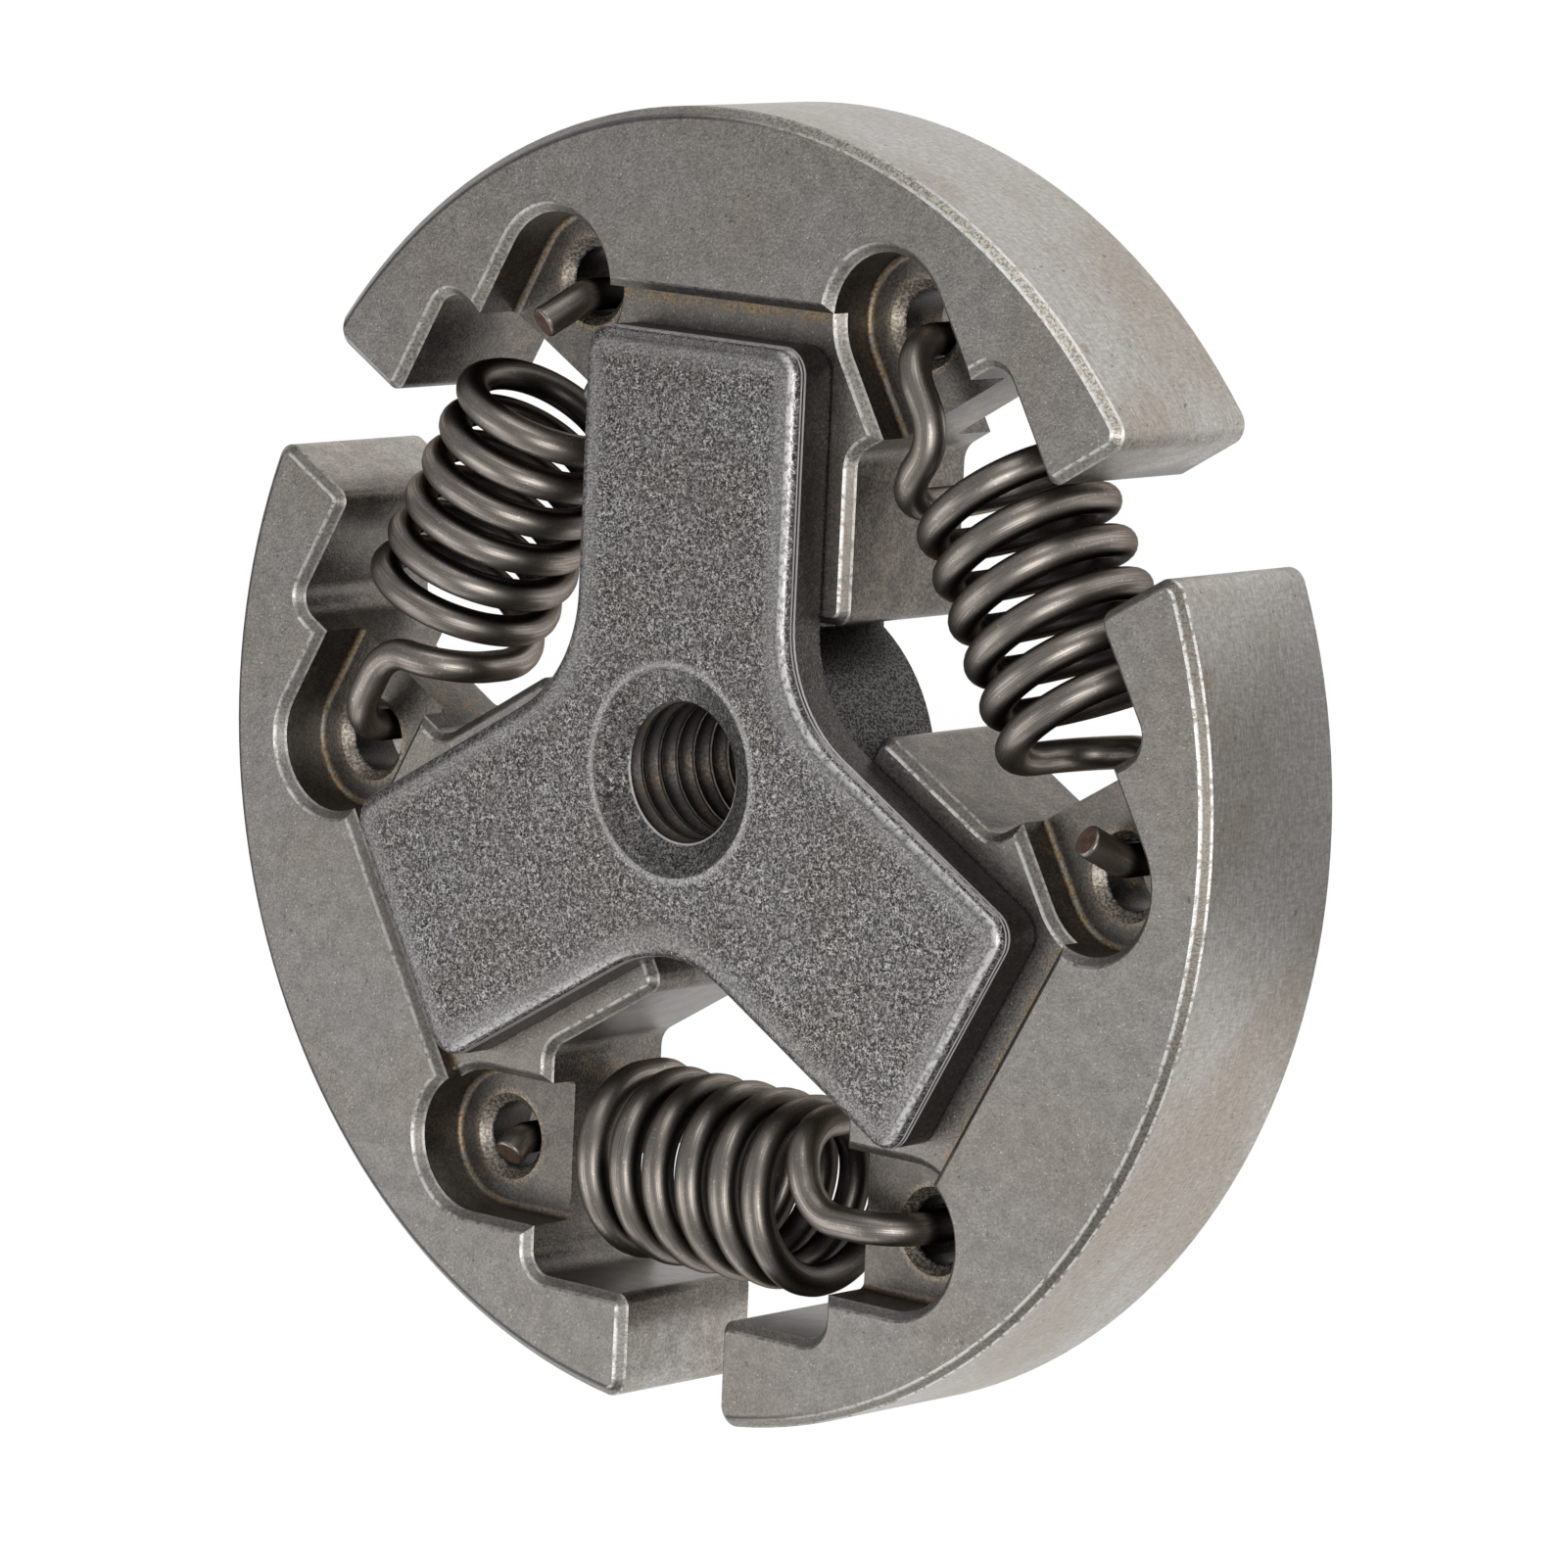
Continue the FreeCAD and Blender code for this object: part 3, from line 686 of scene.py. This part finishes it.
def wire_material():
    """Dark drawn wire, with painted shade between the turns, inside the coil and in the hook holes."""
    g = Graph("oil_tempered_wire")
    g.shader.inputs["Specular Tint"].default_value = WIRE_GLANCE
    around, along = g.split(g.node("ShaderNodeUVMap", uv_map="wire").outputs[0])[:2]
    turn = g.times(around, 2 * math.pi)
    across = g.times(g.math("COSINE", turn), DRAW_ROUND)
    other = g.times(g.math("SINE", turn), DRAW_ROUND)
    where = g.join(across, other, g.times(along, DRAW_ALONG))
    draw = g.noise(where, scale=1.0, detail=2.0, rough=0.6)
    cloud = g.noise(g.mm, scale=0.5, detail=1.0, rough=0.6)
    grain = g.noise(g.mm, scale=6.0, detail=1.0, rough=0.6)
    colour = g.mix(g.between(draw, 0.3, 0.7), WIRE_DARK, WIRE_LIGHT)
    colour = g.mix(g.between(cloud, 0.45, 0.7, 0.0, 0.5), colour, WIRE_CLOUD)
    colour = g.mix(g.between(grain, 0.64, 0.72, 0.0, 0.6), colour, WIRE_FLECK)
    painted_shade = g.split(g.node("ShaderNodeUVMap", uv_map="painted_shade").outputs[0])[0]
    # Painted shade between the turns, inside the coil and in the hook holes
    colour = g.mix(g.between(painted_shade, 0.55, 1.0, 0.0, 0.86), colour, WIRE_PAINTED_SHADE)
    rough = g.between(draw, 0.25, 0.75, 0.44, 0.32)
    return g.finish(colour, 1.0, rough, draw, depth=0.004)


def cut_end_material():
    g = Graph("wire_cut_end")
    patch = g.noise(g.mm, scale=2.2, detail=3.0, rough=0.6)
    colour = g.mix(g.between(patch, 0.35, 0.65), CUT_DARK, CUT_LIGHT)
    rough = g.between(patch, 0.3, 0.7, 0.6, 0.42)
    return g.finish(colour, 0.85, rough, patch, depth=0.02)


def thread_material():
    """Brown-grey crests that darken to the root: oily, and painted shade."""
    g = Graph("tapped_thread")
    patch = g.noise(g.mm, scale=0.6, detail=3.0, rough=0.6)
    fine = g.noise(g.mm, scale=6.0, detail=2.0, rough=0.6)
    colour = g.mix(g.between(patch, 0.4, 0.7), THREAD_GREY, THREAD_BROWN)
    colour = g.mix(g.between(fine, 0.35, 0.65, 0.0, 0.3), colour, THREAD_GRAIN)
    radius = g.place()[3]
    # Darker to the root: oily, and painted shade
    oily_shade = g.between(radius, THREAD_CREST + FLANK_INSET, THREAD_ROOT - FLANK_INSET, 0.0, 0.92)
    colour = g.mix(oily_shade, colour, THREAD_OILY_SHADE)
    rough = g.between(fine, 0.3, 0.7, 0.38, 0.52)
    return g.finish(colour, 1.0, rough, fine, depth=0.008)


class Path:
    """Points along a bent wire: straight runs and round bends, each tangent to the last."""

    def __init__(self, start, heading):
        self.points = [Vector(start)]
        self.heading = Vector(heading)

    def straight(self, length):
        at = self.points[-1]
        steps = max(1, round(length / RING_STEP))
        for i in range(steps):
            self.points.append(at + self.heading * (length * (i + 1) / steps))

    def bend(self, radius, toward, degrees):
        at, heading, toward = self.points[-1], self.heading, Vector(toward)
        turn = math.radians(degrees)
        steps = max(4, round(radius * turn / RING_STEP))
        for i in range(steps):
            t = turn * (i + 1) / steps
            self.points.append(at + radius * (heading * math.sin(t) + toward * (1 - math.cos(t))))
        self.heading = heading * math.cos(turn) + toward * math.sin(turn)

    def half_turns(self, count):
        """Coil from this point, first over +Z, then under, moving along +Y."""
        for i in range(count):
            start = self.points[-1]
            side = -1 if i % 2 == 0 else 1
            end = start + Vector((-2 * side * COIL_RADIUS, COIL_PITCH / 2, 0))
            middle = (start + end) / 2
            out = start - middle
            up = Vector((0, 0, -side)) * out.length
            steps = round(math.pi * COIL_RADIUS / RING_STEP)
            for k in range(steps):
                t = math.pi * (k + 1) / steps
                self.points.append(middle + out * math.cos(t) + up * math.sin(t))
        self.heading = Vector((0, 0, 1))


def half_spring_points(web_below, beyond_web, lean, lean_to):
    """From the coil's middle to the tip; x outward, y toward the hook, z up from the coil's axis."""
    path = Path((HOOK_ALONG - COIL_RADIUS, 0, 0), (0, 0, 1))
    path.half_turns(COIL_TURNS)
    path.straight(LEG_LIFT - RISE_BEND)
    path.bend(RISE_BEND, (math.cos(SIDEWAYS), math.sin(SIDEWAYS), 0), 90.0)
    path.bend(LEG_BEND, (-math.sin(SIDEWAYS), math.cos(SIDEWAYS), 0), 90.0 - RISE_BEND_SIDEWAYS)
    path.straight(HOOK_SEAT - HOOK_BEND - path.points[-1].y)
    path.bend(HOOK_BEND, (0, 0, -1), 90.0)
    if lean:
        path.straight(path.points[-1].z + web_below - STUB_BEND_BELOW_WEB)
        way = math.radians(lean_to)
        path.bend(STUB_BEND, (math.sin(way), -math.cos(way), 0), lean)
        path.straight(beyond_web + STUB_BEND_BELOW_WEB - STUB_BEND * math.radians(lean))
    else:
        path.straight(path.points[-1].z + web_below + beyond_web)
    return path.points


def make_object(name, data):
    made = bpy.data.objects.new(name, data)
    bpy.context.scene.collection.objects.link(made)
    return made


def mesh_object(name, bm, materials):
    """Object from the mesh in bm, with its faces turned outward."""
    bmesh.ops.recalc_face_normals(bm, faces=bm.faces)
    mesh = bpy.data.meshes.new(name)
    bm.to_mesh(mesh)
    bm.free()
    for material in materials:
        mesh.materials.append(material)
    return make_object(name, mesh)


def share_of(part, whole):
    """Part of the whole, held between 0 and 1."""
    return min(1.0, max(0.0, part / whole))


def wire_shade(at, coil_way, coil_at):
    """At a point of the wire, for its painted shade: the way into the coil, how far the wire is coiled
    there, and how far it is sunk in a hook hole."""
    reach = at - coil_at
    run_out = reach.dot(coil_way)
    inward = -(reach - coil_way * run_out).normalized()
    coiled = share_of(COIL_END - run_out, COIL_PITCH / 4)
    sunk = 0.0
    if run_out > HOOK_SEAT - HOOK_BEND / 2:
        sunk = share_of(WEB_FRONT + SUNK_ABOVE_WEB - MIDDLE - abs(at.z - MIDDLE), SUNK_FADE)
    return inward, coiled, sunk


def ring_places(at, ahead, is_tip):
    """Centre and radius of the rings at a point: one, or three that round the tip's border."""
    if not is_tip:
        return [(at, WIRE_RADIUS)]
    between = CUT_ROUND * CUT_RING_SHARE
    return [
        (at - ahead * CUT_ROUND, WIRE_RADIUS),
        (at - ahead * between, WIRE_RADIUS - between),
        (at, WIRE_RADIUS - CUT_ROUND),
    ]


def wire_rings(bm, points, coil_way, coil_at):
    """Rings of vertices along the wire, the shade at each vertex, and each ring's run along the wire."""
    rings = []
    shades = []
    runs = []
    run = 0.0
    across = Vector((1, 0, 0))
    last = len(points) - 1
    for i, at in enumerate(points):
        ahead = points[min(i + 1, last)] - points[max(i - 1, 0)]
        if i == 0:
            ahead = Vector((0, 0, 1 if points[1].z > points[0].z else -1))
        else:
            run += (at - points[i - 1]).length
        ahead.normalize()
        across = (across - ahead * across.dot(ahead)).normalized()
        other = ahead.cross(across)
        inward, coiled, sunk = wire_shade(at, coil_way, coil_at)
        for spot, radius in ring_places(at, ahead, i == last):
            ring = []
            shade = []
            for k in range(RING_SIDES):
                turn = 2 * math.pi * k / RING_SIDES
                way = across * math.cos(turn) + other * math.sin(turn)
                ring.append(bm.verts.new((spot + radius * way) * MM))
                shade.append(max(sunk, coiled * max(abs(way.dot(coil_way)), way.dot(inward))))
            rings.append(ring)
            shades.append(shade)
            runs.append(run)
    return rings, shades, runs


def wire_tube(name, points, coil_way, coil_at, materials):
    """Round wire along points, flat at both ends. One map holds round and along, for its draw lines.
    The other holds its painted shade: how far its skin looks to the next turn or into the coil, or is
    sunk."""
    bm = bmesh.new()
    draw_map = bm.loops.layers.uv.new("wire")
    painted_shade_map = bm.loops.layers.uv.new("painted_shade")
    rings, shades, runs = wire_rings(bm, points, coil_way, coil_at)
    for i in range(len(rings) - 1):
        for k in range(RING_SIDES):
            after = (k + 1) % RING_SIDES
            face = bm.faces.new((rings[i][k], rings[i][after], rings[i + 1][after], rings[i + 1][k]))
            face.smooth = True
            corners = ((k, i), (k + 1, i), (k + 1, i + 1), (k, i + 1))
            for loop, (side, row) in zip(face.loops, corners):
                loop[draw_map].uv = (side / RING_SIDES, runs[row])
                loop[painted_shade_map].uv = (shades[row][side % RING_SIDES], 0.0)
    for ring in (rings[0][::-1], rings[-1]):
        face = bm.faces.new(ring)
        face.material_index = 1
        for edge in face.edges:
            edge.smooth = False
    return mesh_object(name, bm, materials)


def add_springs():
    """Each spring as two halves, from the coil's middle to their hooks in the shoes."""
    materials = (wire_material(), cut_end_material())
    for name, (angle, front_shoe, back_shoe, stub) in SPRINGS.items():
        turn = Matrix.Rotation(math.radians(angle), 3, "Z")
        front = half_spring_points(COIL_HEIGHT - WEB_BACK, TAIL_BEYOND_WEB, 0.0, 0.0)
        back = half_spring_points(WEB_FRONT - COIL_HEIGHT, *stub)
        for end, shoe, half, side in (("front", front_shoe, front, 1), ("back", back_shoe, back, -1)):
            points = []
            for p in half:
                points.append(turn @ Vector((p.x, side * p.y, side * p.z + COIL_HEIGHT)))
            start = turn @ Vector((HOOK_ALONG, 0, COIL_HEIGHT))
            piece = wire_tube(name + "_" + end, points, turn @ Vector((0, side, 0)), start, materials)
            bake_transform(piece)
            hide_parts(name)


def thread_radii(z, mouth):
    """Radii round the left-hand thread at a height, led in at both ends."""
    back = THREAD_RADIUS - (z - HUB_RECESS - BACK_SINK)
    front = MOUTH_RADIUS - (mouth - z)
    radii = []
    for k in range(THREAD_STEPS):
        phase = (z / THREAD_PITCH + k / THREAD_STEPS) % 1.0
        from_crest = abs(phase - 0.5) * 2
        cut = share_of(from_crest - CREST_SHARE, FLANK_SHARE)
        radius = THREAD_CREST + (THREAD_ROOT - THREAD_CREST) * cut
        radii.append(min(THREAD_ROOT, max(radius, back, front)))
    return radii


def thread_ring(bm, z, radii):
    """Vertices round the bore at a height, with a radius for each step."""
    ring = []
    for k, radius in enumerate(radii):
        angle = 2 * math.pi * k / THREAD_STEPS
        ring.append(bm.verts.new(Vector((radius * math.cos(angle), radius * math.sin(angle), z)) * MM))
    return ring


def thread_rings(bm):
    """Rings up the thread, up the funnel and down the hidden wall, and the thread's number of rows."""
    low = HUB_RECESS + BACK_SINK
    lip_radius = SINK_RADIUS - LIP_INSIDE
    lip = PLATE_FRONT - LIP_INSIDE * SINK_RISE + FUNNEL_PROUD
    mouth = lip - (lip_radius - MOUTH_RADIUS) * SINK_RISE
    edge = PLATE_FRONT - FRONT_SINK * SINK_RISE
    rows = round((mouth - low) / THREAD_ROW)
    rings = []
    for i in range(rows + 1):
        z = low + (mouth - low) * i / rows
        rings.append(thread_ring(bm, z, thread_radii(z, mouth)))
    plain = []
    for i in range(FUNNEL_ROWS + 1):
        share = i / FUNNEL_ROWS
        plain.append((mouth + (lip - mouth) * share, MOUTH_RADIUS + (lip_radius - MOUTH_RADIUS) * share))
    plain += [(lip - FUNNEL_WALL, lip_radius), (edge - FUNNEL_WALL, SLEEVE_WALL), (low, SLEEVE_WALL)]
    for z, radius in plain:
        rings.append(thread_ring(bm, z, [radius] * THREAD_STEPS))
    return rings, rows


def add_thread():
    """Thread in the bore, with a plain funnel at its front that lies on the countersink."""
    bm = bmesh.new()
    rings, rows = thread_rings(bm)
    for i in range(len(rings)):
        here = rings[i]
        above = rings[(i + 1) % len(rings)]
        for k in range(THREAD_STEPS):
            after = (k + 1) % THREAD_STEPS
            face = bm.faces.new((here[k], here[after], above[after], above[k]))
            face.smooth = i < rows or rows < i <= rows + FUNNEL_ROWS
            face.material_index = 1 if i > rows else 0
    for k in range(THREAD_STEPS):
        for ring in (rings[rows], rings[rows + 1], rings[rows + 1 + FUNNEL_ROWS]):
            bm.edges.get((ring[k], ring[(k + 1) % THREAD_STEPS])).smooth = False
    materials = (thread_material(), bpy.data.materials["spider_grained_steel"])
    piece = mesh_object("bore_thread", bm, materials)
    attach(piece, "spider")


def floor_material():
    """White to the camera, with a faint shadow, and white in reflections, with a dimmer part."""
    g = Graph("floor_white")
    g.tree.nodes.remove(g.shader)
    x, y = g.split(g.mm)[:2]
    path = g.node("ShaderNodeLightPath").outputs
    beside = g.math("ABSOLUTE", g.math("SUBTRACT", y, DIM_MIDDLE_Y))
    dim = g.times(g.rise(x, DIM_X), g.fall(beside, DIM_HALF_Y))
    mirrored = g.invert(g.times(dim, DIM_SHARE))
    seen = g.most(g.times(path["Is Camera Ray"], FLOOR_SEEN_WHITE), path["Is Glossy Ray"])
    seen = g.most(seen, path["Is Transmission Ray"])
    bright = g.most(g.times(path["Is Camera Ray"], FLOOR_WHITE), mirrored)
    white = g.node("ShaderNodeEmission", {"Strength": bright}).outputs[0]
    pale = g.node("ShaderNodeBsdfDiffuse", {"Color": FLOOR_PALE}).outputs[0]
    mixed = g.node("ShaderNodeMixShader", {0: seen, 1: pale, 2: white}).outputs[0]
    g.put(g.out.inputs[0], mixed)
    return g.material


def add_floor():
    bpy.ops.mesh.primitive_grid_add(x_subdivisions=2, y_subdivisions=2, size=FLOOR_SIZE)
    floor = bpy.context.object
    floor.name = "floor"
    floor.location.z = -FLOOR_BELOW
    floor.data.materials.append(floor_material())


def add_world():
    """Dim room that is white to the camera."""
    world = bpy.data.worlds.new("studio")
    bpy.context.scene.world = world
    world.use_nodes = True
    tree = world.node_tree
    tree.nodes.clear()
    out = tree.nodes.new("ShaderNodeOutputWorld")
    path = tree.nodes.new("ShaderNodeLightPath")
    room = tree.nodes.new("ShaderNodeBackground")
    room.inputs["Color"].default_value = ROOM_COLOUR
    room.inputs["Strength"].default_value = ROOM_STRENGTH
    white = tree.nodes.new("ShaderNodeBackground")
    white.inputs["Strength"].default_value = 1.0
    mixed = tree.nodes.new("ShaderNodeMixShader")
    tree.links.new(path.outputs["Is Camera Ray"], mixed.inputs[0])
    tree.links.new(room.outputs[0], mixed.inputs[1])
    tree.links.new(white.outputs[0], mixed.inputs[2])
    tree.links.new(mixed.outputs[0], out.inputs[0])


def add_softboxes():
    """Area lights that face the clutch."""
    for name, (direction, distance, width, height, power) in SOFTBOXES.items():
        light = bpy.data.lights.new(name, "AREA")
        light.shape = "RECTANGLE"
        light.size = width
        light.size_y = height
        light.energy = power
        lamp = make_object(name, light)
        aim = Vector(direction).normalized()
        lamp.location = aim * distance
        lamp.rotation_euler = aim.to_track_quat("Z", "Y").to_euler()


def add_camera():
    data = bpy.data.cameras.new("camera")
    data.sensor_fit = "AUTO"
    data.sensor_width = SENSOR
    data.lens = LENS
    data.clip_start = CLIP_START
    data.clip_end = CLIP_END
    camera = make_object("camera", data)
    turns = Euler([math.radians(turn) for turn in CAMERA_TURNS], "XYZ")
    camera.matrix_world = Matrix.Translation(Vector(CAMERA_PLACE) * MM) @ turns.to_matrix().to_4x4()
    bpy.context.scene.camera = camera


def dress_nodes():
    """Steel on the shoes and the spider. The springs' nodes are skipped here: add_springs hides them and
    builds finer pieces.
    """
    shoe = shoe_material()
    spider = spider_material()
    for name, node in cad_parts.items():
        if name.startswith("spring"):
            continue
        for place in node.material_slots:
            place.material = spider if name == "spider" else shoe


bpy.context.scene.view_settings.view_transform = "Standard"
add_camera()
add_floor()
add_world()
add_softboxes()
dress_nodes()
add_springs()
add_thread()
